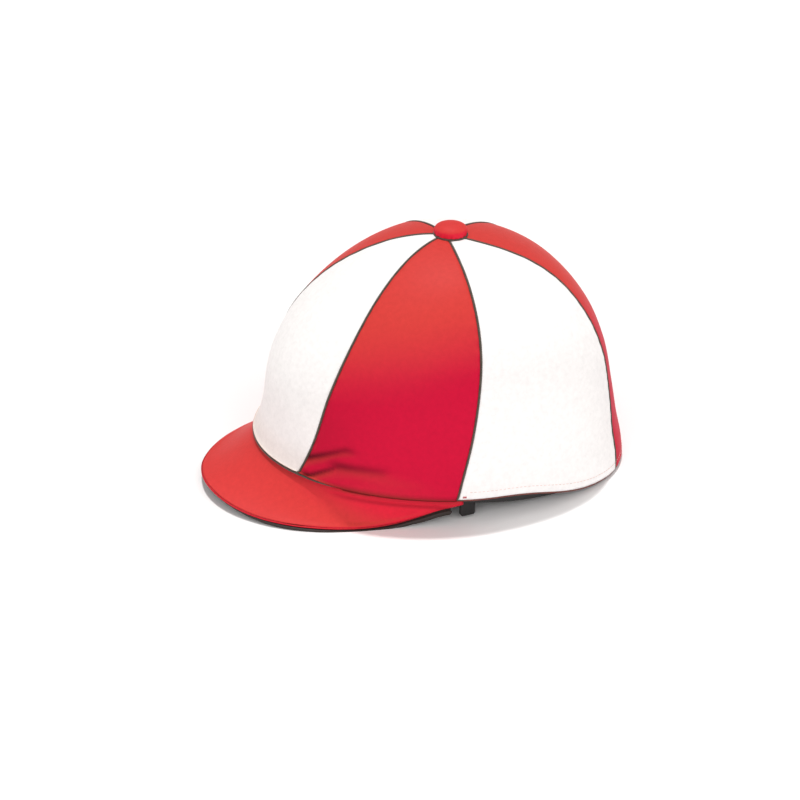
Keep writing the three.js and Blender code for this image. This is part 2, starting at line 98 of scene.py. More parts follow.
def along_rows(values, place, before):
    """Smooth curve through values, at places counted in them, that runs on straight at its end."""
    padded = np.concatenate([[before], values, [2 * values[-1] - values[-2]]])
    row = np.clip(np.floor(place), 0, len(values) - 2).astype(int)
    t = place - row
    a, b, c, d = (padded[row + k] for k in range(4))
    square = (2 * a - 5 * b + 4 * c - d) * t**2
    cube = (3 * b - a - 3 * c + d) * t**3
    return 0.5 * (2 * b + (c - a) * t + square + cube)


def smooth_share(value, none, whole):
    """0 where value is none, 1 where it is whole, and a smooth step in between."""
    t = np.clip((value - none) / (whole - none), 0, 1)
    return t * t * (3 - 2 * t)


def turn_from_front(angle):
    return np.abs((np.degrees(angle) + 180) % 360 - 180)


def rim_lift(angle):
    """Height of the shell's rim over the table; angles run from the front round the wearer's left."""
    forward = np.cos(angle)
    tilt = (BROW_LIFT + NAPE_DIP) / 2 * forward
    arch = ((BROW_LIFT - NAPE_DIP) / 2 - SIDE_LIFT) * forward**2
    temple = TEMPLE_RISE * forward * (1 - forward**2)
    return np.maximum(0, SIDE_LIFT + tilt + arch + temple)


def height_at_row(row):
    return CROWN_HEIGHT * (1 - along_rows(DEPTHS, row, DEPTHS[1]))


def row_at_height(height):
    low, high = np.zeros_like(height), np.full_like(height, len(DEPTHS) - 1.0)
    for _ in range(HALVINGS):
        middle = (low + high) / 2
        above = height_at_row(middle) > height
        low, high = np.where(above, middle, low), np.where(above, high, middle)
    return (low + high) / 2


def crown_surface(share, angle):
    """Points of the cloth's outer face; share runs from 0 at the top to 1 at the rim."""
    share, angle = np.broadcast_arrays(share, angle)
    row = np.maximum(share * row_at_height(rim_lift(angle)), 1e-5)
    height = height_at_row(row)
    side = along_rows(SIDES, row, -SIDES[1])
    front = along_rows(FRONTS, row, -FRONTS[1])
    rear = along_rows(REARS, row, -REARS[1])
    faces_front = np.cos(angle) > 0
    end = np.where(faces_front, front, rear)
    squareness = np.where(faces_front, FRONT_SQUARENESS, REAR_SQUARENESS)
    power = TOP_SQUARENESS + (squareness - TOP_SQUARENESS) * np.clip(row / SQUARE_ROW, 0, 1)
    across = np.abs(np.sin(angle) / side) ** power
    along = np.abs(np.cos(angle) / end) ** power
    turn, above = turn_from_front(angle), height - rim_lift(angle)
    kick = smooth_share(turn, *BROW_KICK_TURNS) * np.maximum(0, 1 - above / BROW_KICK_HEIGHT) ** 2
    tuck = smooth_share(turn, *NAPE_TUCK_TURNS) * np.maximum(0, 1 - above / NAPE_TUCK_HEIGHT) ** 2
    reach = (across + along) ** (-1 / power) + BROW_KICK * kick - NAPE_TUCK * tuck
    return np.stack([reach * np.sin(angle), AXIS_Y - reach * np.cos(angle), height], -1)


def unit(vectors):
    return vectors / np.maximum(np.linalg.norm(vectors, axis=-1, keepdims=True), 1e-12)


def crown_normal(share, angle):
    share, angle = np.broadcast_arrays(np.asarray(share, float), angle)
    step = 1e-3
    low = np.clip(share + step, 2.5 * step, 1)
    down = crown_surface(low, angle) - crown_surface(low - 2 * step, angle)
    spread = crown_surface(np.maximum(share, step), angle + step)
    spread = spread - crown_surface(np.maximum(share, step), angle - step)
    normal = unit(np.cross(down, spread))
    return np.where((share < 1e-6)[..., None], [0.0, 0.0, 1.0], normal)


def crown_point(share, angle, lift):
    return crown_surface(share, angle) + crown_normal(share, angle) * np.asarray(lift)[..., None]


def grid_faces(rows, columns, wrap=False):
    """Corner numbers of the faces of a grid of points, whose rows go down and whose columns go round."""
    faces = []
    for upper in range(0, (rows - 1) * columns, columns):
        lower = upper + columns
        for left in range(columns if wrap else columns - 1):
            right = (left + 1) % columns
            faces.append((upper + left, lower + left, lower + right, upper + right))
    return faces


def add_object(name, data):
    made = bpy.data.objects.new(name, data)
    bpy.context.scene.collection.objects.link(made)
    return made


def add_mesh(name, points, faces, uvs=None, painted_shade=None):
    """A smooth-shaded object at the origin. By point, uvs are metres across and along the cloth, and the
    last argument says from 0 to 1 how much painted shade darkens the cloth there."""
    mesh = bpy.data.meshes.new(name)
    mesh.from_pydata([tuple(p) for p in np.asarray(points)], [], faces)
    mesh.shade_smooth()
    if uvs is not None:
        corners = np.zeros(len(mesh.loops), int)
        mesh.loops.foreach_get("vertex_index", corners)
        layer = mesh.uv_layers.new(name="cloth")
        layer.data.foreach_set("uv", np.asarray(uvs, np.float32)[corners].ravel())
    if painted_shade is not None:
        stored = mesh.attributes.new("painted_shade", "FLOAT", "POINT")
        stored.data.foreach_set("value", np.asarray(painted_shade, np.float32))
    mesh.update()
    return add_object(name, mesh)


def merge_points(made, distance=1e-6):
    grown = bmesh.new()
    grown.from_mesh(made.data)
    bmesh.ops.remove_doubles(grown, verts=grown.verts, dist=distance)
    bmesh.ops.recalc_face_normals(grown, faces=grown.faces)
    grown.to_mesh(made.data)
    grown.free()


def node_adder(tree):
    """A helper that adds a node to the tree, sets its values, links or fills its inputs, and returns its
    outputs."""

    def add(kind, links=None, **values):
        node = tree.nodes.new(kind)
        for key, value in values.items():
            setattr(node, key, value)
        for key, source in (links or {}).items():
            if isinstance(source, bpy.types.NodeSocket):
                tree.links.new(source, node.inputs[key])
            else:
                node.inputs[key].default_value = source
        return node.outputs

    return add


def node_material(name, color, roughness):
    """A material with its shader, the helper that adds its nodes, and the call that links two of them."""
    material = bpy.data.materials.new(name)
    material.use_nodes = True
    tree = material.node_tree
    shader = tree.nodes["Principled BSDF"]
    shader.inputs["Base Color"].default_value = (*color, 1)
    shader.inputs["Roughness"].default_value = roughness
    return material, shader, node_adder(tree), tree.links.new


def moulded_black(name, color, roughness, grain_scale, grain_depth):
    """Satin black plastic with a fine moulded grain and faint rubbed patches."""
    material, shader, add, link = node_material(name, color, roughness)
    place = add("ShaderNodeTexCoord")["Object"]
    grain = add("ShaderNodeTexNoise", {
        "Vector": place, "Scale": grain_scale, "Detail": 3.0, "Roughness": 0.55,
    })
    worn = add("ShaderNodeTexNoise", {"Vector": place, "Scale": 28.0, "Detail": 4.0})
    rough = add("ShaderNodeMapRange", {
        "Value": worn["Fac"], "From Min": 0.35, "From Max": 0.65,
        "To Min": roughness - 0.08, "To Max": roughness + 0.1,
    })
    bump = add("ShaderNodeBump", {"Height": grain["Fac"], "Strength": 0.35, "Distance": grain_depth})
    link(rough["Result"], shader.inputs["Roughness"])
    link(bump["Normal"], shader.inputs["Normal"])
    return material


shell_shares = np.linspace(0, 1, SHELL_ROWS + 1)[:, None]
shell_angles = np.linspace(0, 2 * math.pi, SHELL_STEPS, endpoint=False)[None, :]
shell_outer = crown_point(shell_shares, shell_angles, -CLOTH_ROOM)
shell_inner = crown_point(shell_shares, shell_angles, -CLOTH_ROOM - SHELL_WALL)
rim_drop = RIM_DROP * np.exp(-(((turn_from_front(shell_angles[0]) - RIM_DROP_TURN) / RIM_DROP_SPREAD) ** 2))

# The rim is rounded: its section is a half round between the two walls, flattened where it rests
rim_rows = []
for turn in np.linspace(0, math.pi, RIM_STEPS):
    middle = (shell_outer[-1] + shell_inner[-1]) / 2
    half = (shell_outer[-1] - shell_inner[-1]) / 2
    ring = middle + half * math.cos(turn)
    ring[:, 2] = rim_lift(shell_angles[0]) - rim_drop + RIM_ROUND * (1 - math.sin(turn) ** RIM_SQUARENESS)
    rim_rows.append(ring)
shell_rows = [*shell_outer[:-1], *rim_rows, *shell_inner[:-1][::-1]]
shell = add_mesh(
    "moulded_skull", np.concatenate(shell_rows), grid_faces(len(shell_rows), SHELL_STEPS, wrap=True)
)
merge_points(shell)
shell.data.materials.append(
    moulded_black("satin black shell", SHELL_BLACK, roughness=0.42, grain_scale=900.0, grain_depth=0.0001)
)
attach(shell, "root")
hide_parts("skull_shell")


# The strap tabs
# Two short tongues of black webbing hang inside the rim below the ears. They are what shows of the harness.
# Each is cut from one layer, and its lower corners are rounded.

WEBBING_BLACK = (0.011, 0.010, 0.010)

for name in ("ear_tab_left", "ear_tab_right"):
    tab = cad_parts[name]
    material, shader, add, link = node_material(f"black webbing {name}", WEBBING_BLACK, roughness=0.75)
    place = add("ShaderNodeTexCoord")["Object"]
    ribs = add("ShaderNodeTexWave", {
        "Vector": place, "Scale": 480.0, "Distortion": 0.4,
    }, bands_direction="Z")
    bump = add("ShaderNodeBump", {"Height": ribs["Fac"], "Strength": 0.6, "Distance": 0.0002})
    link(bump["Normal"], shader.inputs["Normal"])
    tab.data.materials.clear()
    tab.data.materials.append(material)


# The peak's board
# A stiff curved board under the cloth gives the peak its form. Its black rim stands out below the cloth's
# edge, and the cap stands on its two lower edges.

PEAK_REACH = 0.0443
PEAK_TURN = math.radians(74)
PEAK_SET_BACK = 0.0019
PEAK_STEPS = 150
PEAK_COLUMNS = 26
COVER_DEPTH = 0.0015
BOARD_WALL = 0.0032
GAP = 0.0003
BOARD_ENDS = 1 - 2 / 30
BOARD_REACH = 0.97
RIM_PROUD = 0.0018
RIM_HEIGHT = 0.0042
RIM_WALL = 0.0026
RIM_HIDDEN_TO = 0.05
RIM_WHOLE_FROM = 0.36
EDGE_RAISE = 0.0016
EDGE_RAISE_TO = 0.85
FRONT_TAPER = 0.0026
FRONT_TAPER_FROM = 0.5
# The board's black is tinted red-brown: painted reddish light, as thrown from the red cloth into the shade
# under the peak's edge
BOARD_BLACK = (0.022, 0.013, 0.010)

# The peak's form at even steps of the turn, from the centre front to its end: reach is a share of
# PEAK_REACH, fall and board are shares of the rim's height, and bulge is a share of the section's width
PEAK_FORM = {
    "reach": (1.000, 0.945, 0.810, 0.635, 0.445, 0.255, 0.095, -0.010, -0.050, -0.050, -0.030),
    "fall": (0.700, 0.755, 0.850, 0.910, 0.945, 0.980, 0.980, 0.900, 0.700, 0.430, 0.120),
    "board": (0.730, 0.790, 0.880, 0.940, 0.975, 1.000, 1.000, 1.000, 0.930, 0.700, 0.500),
    "bulge": (-0.10, -0.12, -0.15, -0.18, -0.20, -0.20, -0.17, -0.12, -0.07, -0.03, 0.00),
}


def level_outward(angle):
    outward = crown_normal(1.0, angle)
    outward[..., 2] = 0
    return unit(outward)


def rim_point(angle, out, up):
    """A point beside the rim: out is level, away from the crown's rim, and up is over the shell's rim."""
    place = crown_surface(1.0, angle) + level_outward(angle) * np.asarray(out)[..., None]
    place[..., 2] = rim_lift(angle) + up
    return place


def peak_value(name, turn):
    values = PEAK_FORM[name]
    return along_rows(values, np.abs(turn) * (len(values) - 1), values[1])


def rim_share(turn):
    """The board's rim doesn't show at the centre front, and shows whole at the sides."""
    return smooth_share(np.abs(turn), RIM_HIDDEN_TO, RIM_WHOLE_FROM)


def peak_edge(turn):
    """How far out and up from the rim the cloth's edge lies."""
    raised = EDGE_RAISE * rim_share(turn) * smooth_share(np.abs(turn), 1.0, EDGE_RAISE_TO)
    up = -rim_lift(turn * PEAK_TURN) * peak_value("fall", turn) + raised
    return PEAK_REACH * peak_value("reach", turn), up


def peak_section(turn, share, depth):
    """How far out and up from the rim the peak lies, a depth below its top face; turn runs from -1 to 1."""
    lift = rim_lift(turn * PEAK_TURN)
    start_out, start_up = -PEAK_SET_BACK, -GAP
    end_out, end_up = peak_edge(turn)
    span_out, span_up = end_out - start_out, end_up - start_up
    bulge = peak_value("bulge", turn)
    middle_out = (start_out + end_out) / 2 - span_up * bulge
    middle_up = (start_up + end_up) / 2 + span_out * bulge
    out = (1 - share) ** 2 * start_out + 2 * share * (1 - share) * middle_out + share**2 * end_out
    up = (1 - share) ** 2 * start_up + 2 * share * (1 - share) * middle_up + share**2 * end_up
    along_out = (1 - share) * (middle_out - start_out) + share * (end_out - middle_out)
    along_up = (1 - share) * (middle_up - start_up) + share * (end_up - middle_up)
    length = np.hypot(along_out, along_up)
    out = out + along_up / length * depth
    up = np.minimum(up - along_out / length * depth, -GAP)
    return out, np.maximum(up, GAP - lift)


def closed_sheet(outer, inner, rounding=5):
    """Points and faces of a wall between two grids, with a rounded edge all round, and a number that says
    which outer point each point belongs to."""
    rows, columns = outer.shape[:2]
    number = np.arange(rows * columns).reshape(rows, columns)
    border = np.concatenate([number[0, :-1], number[:-1, -1], number[-1, :0:-1], number[:0:-1, 0]])
    outer, inner = outer.reshape(-1, 3), inner.reshape(-1, 3)
    near, far = outer[border], inner[border]
    along = np.roll(near, -1, 0) - np.roll(near, 1, 0)
    through = far - near
    away = unit(np.cross(unit(along), unit(through)))
    half = np.linalg.norm(through, axis=1, keepdims=True) / 2
    middle = (near + far) / 2
    rings, owners = [], []
    for turn in np.linspace(0, math.pi, rounding + 2)[1:-1]:
        rings.append(middle - unit(through) * half * math.cos(turn) + away * half * math.sin(turn))
        owners.append(border)
    points = np.concatenate([outer, inner, *rings])
    owner = np.concatenate([number.ravel(), number.ravel(), *owners])
    count, edge = rows * columns, len(border)
    faces = grid_faces(rows, columns)
    faces += [tuple(count + k for k in face[::-1]) for face in grid_faces(rows, columns)]
    loops = [border, *[2 * count + edge * k + np.arange(edge) for k in range(rounding)], border + count]
    for upper, lower in zip(loops, loops[1:]):
        for i in range(edge):
            j = (i + 1) % edge
            faces.append((int(upper[j]), int(upper[i]), int(lower[i]), int(lower[j])))
    return points, faces, owner


board_turns = np.linspace(-BOARD_ENDS, BOARD_ENDS, PEAK_STEPS + 1)[:, None]
board_shares = np.linspace(0, BOARD_REACH, PEAK_COLUMNS)[None, :]


def board_face(depth, rim):
    """One face of the board at a depth below the cloth's top face, and on round its standing rim, which is
    given as pairs of how far out of the cloth's edge and how far below it its corners lie."""
    angle, lift = board_turns * PEAK_TURN, rim_lift(board_turns * PEAK_TURN)
    taper, whole = min(FRONT_TAPER, depth - COVER_DEPTH - GAP), rim_share(board_turns)
    thinned = taper * smooth_share(board_shares, FRONT_TAPER_FROM, BOARD_REACH)
    outs, ups = peak_section(board_turns, board_shares, depth - thinned * (1 - whole))
    edge_out, edge_up = peak_edge(board_turns)
    drop = (peak_value("board", board_turns) - peak_value("fall", board_turns)) * lift
    stretch = np.maximum(1, drop / RIM_HEIGHT)
    shown = COVER_DEPTH / RIM_HEIGHT + (1 - COVER_DEPTH / RIM_HEIGHT) * whole
    outs = np.concatenate([outs, *[edge_out + out * whole for out, _ in rim]], 1)
    rim_ups = [np.maximum(edge_up - below * stretch * shown, -lift) for _, below in rim]
    ups = np.concatenate([ups, *rim_ups], 1)
    return rim_point(np.broadcast_to(angle, outs.shape), outs, ups)


outer_rim = [
    (RIM_PROUD * 0.1, 0.0016), (RIM_PROUD * 0.7, 0.0014), (RIM_PROUD, 0.0019), (RIM_PROUD, 0.0032),
    (RIM_PROUD * 0.7, RIM_HEIGHT),
]
inner_rim = [
    (-RIM_WALL * 0.8, 0.0034), (-RIM_WALL * 0.5, RIM_HEIGHT), (-RIM_WALL * 0.3, RIM_HEIGHT),
    (-RIM_WALL * 0.1, RIM_HEIGHT), (0.0, RIM_HEIGHT),
]
board_top = board_face(COVER_DEPTH + GAP, outer_rim)
board_bottom = board_face(COVER_DEPTH + GAP + BOARD_WALL, inner_rim)
points, faces, _ = closed_sheet(board_bottom, board_top, rounding=1)
points[:, 2] = np.maximum(points[:, 2], 0.0)
board = add_mesh("peak_board_black", points, faces)
merge_points(board)
board.data.materials.append(
    moulded_black("black board", BOARD_BLACK, roughness=0.6, grain_scale=1200.0, grain_depth=0.0001)
)
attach(board, "root")
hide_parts("peak_board")


# The peak's cloth
# The red cloth of the cover runs out over the board and turns round its edge, where a line of stitches
# holds it three millimetres in. It is a satin-faced stretch knit, drawn tight.

# Painted light: the peak's low colour is a lighter copy of the gores' red, and its top colour is the lit
# colour where it faces up
PEAK_LIGHTER_LOW = (0.72, 0.017, 0.042)
PEAK_LIT_TOP = (0.64, 0.044, 0.042)
RED_SHEEN = (1.0, 0.55, 0.4)
WALE_PITCH = 0.0007
COURSE_PITCH = 0.0005

# Painted shade: what the shade painted into a crease takes of red, green and blue
RED_CREASE_SHADE = (0.72, 0.70, 0.66)

# Painted light: how far the cloth faces up where its colour starts to turn to the lit top colour,
# and where it has that colour whole
TOP_LIGHT_FROM = 0.26
TOP_LIGHT_TO = 0.88


def stretch_cloth(name, low_color, lit_top_color, painted_shade_loss, sheen_tint):
    """Satin-faced knit: wales and courses as a fine bump, painted light where it faces up, painted shade in
    its creases, and faint mottling.
    """
    material, shader, add, link = node_material(name, low_color, roughness=0.5)
    place = add("ShaderNodeTexCoord")
    cloth = add("ShaderNodeUVMap", uv_map="cloth")["UV"]
    across = add("ShaderNodeSeparateXYZ", {"Vector": cloth})

    def math_node(operation, first, second=0.0):
        return add("ShaderNodeMath", {0: first, 1: second}, operation=operation)[0]

    wale = math_node("FRACT", math_node("MULTIPLY", across["X"], 1 / WALE_PITCH))
    fold = math_node("ABSOLUTE", math_node("SUBTRACT", wale, 0.5))
    course = math_node("MULTIPLY", across["Y"], 1 / COURSE_PITCH)
    chevron = math_node("SINE", math_node("MULTIPLY", math_node("ADD", course, fold), 2 * math.pi))
    rib = math_node("SINE", math_node("MULTIPLY", wale, math.pi))
    knit = math_node("MULTIPLY", rib, math_node("ADD", math_node("MULTIPLY", chevron, 0.3), 0.7))
    mottle = add("ShaderNodeTexNoise", {
        "Vector": place["Object"], "Scale": 260.0, "Detail": 5.0, "Roughness": 0.65,
    })
    drift = add("ShaderNodeTexNoise", {"Vector": place["Object"], "Scale": 14.0, "Detail": 2.0})
    # Painted light: where the cloth faces up, its colour turns towards the lit top colour, with a little
    # random drift
    facing = add("ShaderNodeSeparateXYZ", {"Vector": add("ShaderNodeNewGeometry")["Normal"]})
    lifted = math_node("ADD", facing["Z"], math_node("MULTIPLY", drift["Fac"], 0.16))
    painted_top_light = add("ShaderNodeMapRange", {
        "Value": lifted, "From Min": TOP_LIGHT_FROM, "From Max": TOP_LIGHT_TO,
    }, interpolation_type="SMOOTHSTEP")
    color = add("ShaderNodeMix", {
        "Factor": painted_top_light["Result"], 6: (*low_color, 1), 7: (*lit_top_color, 1),
    }, data_type="RGBA")
    speck = add("ShaderNodeMapRange", {
        "Value": mottle["Fac"], "From Min": 0.3, "From Max": 0.7, "To Min": 0.95, "To Max": 1.05,
    })
    # Painted shade: the shade stored by point on the mesh takes so much of red, green and blue from the
    # colour
    painted_shade = add("ShaderNodeAttribute", attribute_name="painted_shade")["Fac"]
    lost = add("ShaderNodeVectorMath", {0: painted_shade_loss, "Scale": painted_shade}, operation="SCALE")[0]
    kept = add("ShaderNodeVectorMath", {0: (1.0, 1.0, 1.0), 1: lost}, operation="SUBTRACT")[0]
    flecked = add("ShaderNodeVectorMath", {0: color[2], "Scale": speck["Result"]}, operation="SCALE")
    tinted = add("ShaderNodeVectorMath", {0: flecked[0], 1: kept}, operation="MULTIPLY")
    bump = add("ShaderNodeBump", {"Height": knit, "Strength": 0.25, "Distance": 0.00008})
    link(tinted[0], shader.inputs["Base Color"])
    link(bump["Normal"], shader.inputs["Normal"])
    shader.inputs["Specular IOR Level"].default_value = 0.08
    shader.inputs["Sheen Weight"].default_value = 0.02
    shader.inputs["Sheen Roughness"].default_value = 0.45
    shader.inputs["Sheen Tint"].default_value = (*sheen_tint, 1)
    return material


lighter_peak_red = stretch_cloth("red cloth of the peak", PEAK_LIGHTER_LOW, PEAK_LIT_TOP, RED_CREASE_SHADE, RED_SHEEN)

COVER_CLOTH = 0.0012
CREASE_RIDGE = 0.0009
CREASE_PLACE = 0.0026
CREASE_WIDTH = 0.0017
CREASE_SIDES = (0.36, 0.5)
CREASE_ENDS = (1.0, 0.9)
# Painted shade on the peak's cloth: darker where it leaves the crown, and along a second crease that has no
# form
SHADE_AT_CROWN = 0.3
SHADE_AT_CROWN_WIDTH = 0.004
SECOND_CREASE_SHADE = 0.45
SECOND_PLACE = 2.2 * CREASE_PLACE
EDGE_ROLL = 0.0005
EDGE_ROLL_WIDTH = 0.0016
cover_turns = np.linspace(-1, 1, PEAK_STEPS + 1)[:, None]
cover_shares = np.linspace(0, 1, PEAK_COLUMNS)[None, :]


def cover_face(depth):
    """The cloth at a depth below its top face, with a soft ridge beside the crown on both sides and a roll
    along its edge, and how much painted shade darkens it beside the crown and along a second crease."""
    out, up = peak_section(cover_turns, cover_shares, 0.0)
    steps = [np.diff(values, axis=1, prepend=values[:, :1]) for values in (out, up)]
    from_crown = np.hypot(*steps).cumsum(1)
    from_edge = from_crown[:, -1:] - from_crown
    side = np.abs(cover_turns)
    beside = smooth_share(side, *CREASE_SIDES) * smooth_share(side, *CREASE_ENDS)
    lift = CREASE_RIDGE * beside * np.exp(-((from_crown - CREASE_PLACE) / CREASE_WIDTH) ** 2)
    lift = lift + EDGE_ROLL * np.exp(-((from_edge - EDGE_ROLL_WIDTH) / EDGE_ROLL_WIDTH) ** 2)
    out, up = peak_section(cover_turns, cover_shares, depth - lift)
    # Painted shade beside the crown and along the second crease
    inner = SHADE_AT_CROWN * np.exp(-((from_crown / SHADE_AT_CROWN_WIDTH) ** 2))
    second = SECOND_CREASE_SHADE * beside * np.exp(-((from_crown - SECOND_PLACE) / CREASE_WIDTH) ** 2)
    return rim_point(np.broadcast_to(cover_turns * PEAK_TURN, out.shape), out, up), inner + second


cover_top, cover_shade = cover_face(0.0)
cover_bottom, _ = cover_face(COVER_CLOTH)
points, faces, owner = closed_sheet(cover_bottom, cover_top)


def grid_uvs(grid):
    """Metres along the rows and down the columns of a grid of points."""
    across = np.linalg.norm(np.diff(grid, axis=1), axis=-1).cumsum(1)
    across = np.concatenate([np.zeros((len(grid), 1)), across], 1)
    across = across - across[:, -1:] / 2
    down = np.linalg.norm(np.diff(grid, axis=0), axis=-1).cumsum(0)
    down = np.concatenate([np.zeros((1, grid.shape[1])), down], 0)
    down = np.broadcast_to(down.mean(1, keepdims=True), across.shape)
    return np.stack([across, down], -1).reshape(-1, 2)


cover = add_mesh("peak_cloth", points, faces, grid_uvs(cover_top)[owner], cover_shade.ravel()[owner])
cover.data.materials.append(lighter_peak_red)
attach(cover, "root")
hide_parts("peak_cover")


# The six gores
# The cover's crown is cut as six gores of stretch cloth, white at the brow and then red and white in turn.
# Each is drawn tight over the skull between two seams, and its lower edge is turned up as a hem.

# The low colours are each cloth's own. The top colours are painted light where the cloth faces up, and the
# crease colours say what painted shade takes of red, green and blue in the creases, a warm shade on the
# white.
RED_LOW = (0.585, 0.0035, 0.037)
RED_LIT_TOP = (0.62, 0.048, 0.041)
WHITE_LOW = (0.915, 0.90, 0.89)
WHITE_LIT_TOP = (0.93, 0.92, 0.91)
WHITE_CREASE_SHADE = (0.55, 0.82, 0.95)
WHITE_SHEEN = (1.0, 0.97, 0.95)
CLOTHS = {
    "red": stretch_cloth("red stretch cloth", RED_LOW, RED_LIT_TOP, RED_CREASE_SHADE, RED_SHEEN),
    "white": stretch_cloth("white stretch cloth", WHITE_LOW, WHITE_LIT_TOP, WHITE_CREASE_SHADE, WHITE_SHEEN),
}

# Degrees round from the front, the wearer's left positive, at even steps from the top to the rim
SEAMS = {
    "left_front": (19.3, 25.9, 27.8, 24.7, 18.7),
    "left_side": (82.3, 83.2, 82.6, 78.5, 71.7),
    "left_rear": (136.3, 146.5, 145.7, 145.0, 141.0),
    "right_front": (-36.7, -29.3, -27.8, -26.8, -26.5),
    "right_side": (-86.2, -85.3, -82.6, -78.5, -71.7),
    "right_rear": (-145.1, -145.0, -145.7, -145.0, -141.0),
}
GORE_CLOTH = 0.0011
GORE_TOP = 0.012
GORE_ROWS = 120
GORE_ROW_POWER = 0.9
GORE_COLUMNS = 56
SEAM_DIP = 0.0007
SEAM_ROUND = 0.0016
SEAM_HALF = 0.0007
PUCKER = 0.00011
PUCKER_PITCH = 0.0085
PUCKER_DRIFT = 0.013
PUCKER_REACH = 0.0045
PUCKER_END = 0.01
HEM_LINE = 0.0022
# Painted shade low on the gores: beside the peak on the red front gores, and towards the lower edge of the
# white front gore
TURNED_IN_SHADE = 0.8
TURNED_IN_SIDES = (23, 36)
TURNED_IN_SHADE_HEIGHT = 0.0052
BROW_SHADE = 0.21
BROW_SHADE_HEIGHT = 0.028
EDGE_SHADE = 0.16
EDGE_SHADE_HEIGHT = 0.005
PEAK_LINE = 0.0003
HEM_TURN_UP = 0.0075
HEM_STEP = 0.001
HEM_SWELL = 0.0004

HEM_FLARE = 0.0042
HEM_FLARE_TURN = 130
HEM_FLARE_SPREAD = 28
HEM_FLARE_HEIGHT = 0.040
HEM_RISE = 0.0044
HEM_RISE_TURN = 101
HEM_RISE_SPREAD = 17
HEM_RISE_POWER = 4

FOLD_HEIGHT = 0.0010
FOLD_BAND = 0.03
FOLD_END = 0.06
FOLD_FADE = 0.4
FOLD_START = 0.004

# Two soft spots above the peak's ends: one where the cloth swells, in metres, and one of painted shade
# only, which darkens the cloth as if it sank there
SWELL = {"most": 0.0011, "rise": 0.6, "band": 0.6, "across": 0.18, "width": 0.22}
PAINTED_HOLLOW_SHADE = {"most": 0.17, "rise": 1.3, "band": 0.9, "across": 0.0, "width": 0.2}

# Ridges and valleys above the peak's ends. Each runs between two places, which are given as a share of the
# gore's width from its front seam and a share of FOLD_BAND over the rim. Its height, less than 0 for a
# valley, is a share of FOLD_HEIGHT, and its width is metres.
FOLDS = [
    (0.02, 0.28, 0.22, 0.79, 0.70, 0.0042),
    (0.12, 0.12, 0.32, 0.33, 0.60, 0.0042),
    (0.32, 0.33, 0.70, 0.29, 0.40, 0.0045),
    (0.01, 0.54, 0.20, 1.00, -1.05, 0.0030),
    (0.06, 0.09, 0.21, 0.56, -1.10, 0.0026),
    (0.21, 0.56, 0.44, 0.62, -0.80, 0.0034),
]


def seam_angle(seam, share):
    turns = np.array(SEAMS[seam])
    return np.radians(along_rows(turns, share * (len(turns) - 1), 2 * turns[0] - turns[1]))


def hem_flare(angle, above):
    """How far the cover stands off the skull round its rear corners."""
    away = (turn_from_front(angle) - HEM_FLARE_TURN) / HEM_FLARE_SPREAD
    return HEM_FLARE * np.exp(-away**2) * smooth_share(above, HEM_FLARE_HEIGHT, 0)


def hem_rise(angle):
    """How far the hem rides up over the ears."""
    away = (turn_from_front(angle) - HEM_RISE_TURN) / HEM_RISE_SPREAD
    return HEM_RISE * np.exp(-away**2)


def cloth_share(share, angle):
    """Share of the way down the crown at which a row of the cloth lies, whose last row ends at the hem."""
    lift = rim_lift(angle)
    last = row_at_height(lift + hem_rise(angle)) / row_at_height(lift)
    return share * (1 - (1 - last) * share**HEM_RISE_POWER)


def soft_spot(spot, across, above):
    up, beside = above / FOLD_BAND - spot["rise"], across - spot["across"]
    return spot["most"] * np.exp(-((up / spot["band"]) ** 2) - (beside / spot["width"]) ** 2)


def fold_lift(across, above):
    """How far the folds lift the cloth, and how much painted shade darkens it in the valleys and the
    hollow.
    """
    ridges, valleys = np.zeros_like(above), np.zeros_like(above)
    for start, start_rise, end, end_rise, height, width in FOLDS:
        way = np.clip((across - start) / (end - start), 0, 1)
        past = np.maximum(np.maximum(start - across, across - end), 0)
        line = FOLD_BAND * (start_rise + (end_rise - start_rise) * way)
        away = np.hypot((above - line) / width, past / FOLD_END)
        lift = FOLD_HEIGHT * height * (1 - FOLD_FADE * way) * np.exp(-away**2)
        ridges, valleys = np.maximum(ridges, lift), np.minimum(valleys, lift)
    swell, hollow_shade = soft_spot(SWELL, across, above), soft_spot(PAINTED_HOLLOW_SHADE, across, above)
    # Painted shade: the valleys' depth and the hollow, which has no form, darken the colour
    return swell + ridges + valleys, hollow_shade - valleys / FOLD_HEIGHT


def even_and_edges(count, pull=0.75):
    """Shares from 0 to 1 that lie closer together towards both ends."""
    even = np.linspace(0, 1, count)
    eased = (1 - np.cos(math.pi * even)) / 2
    return even + (eased - even) * pull


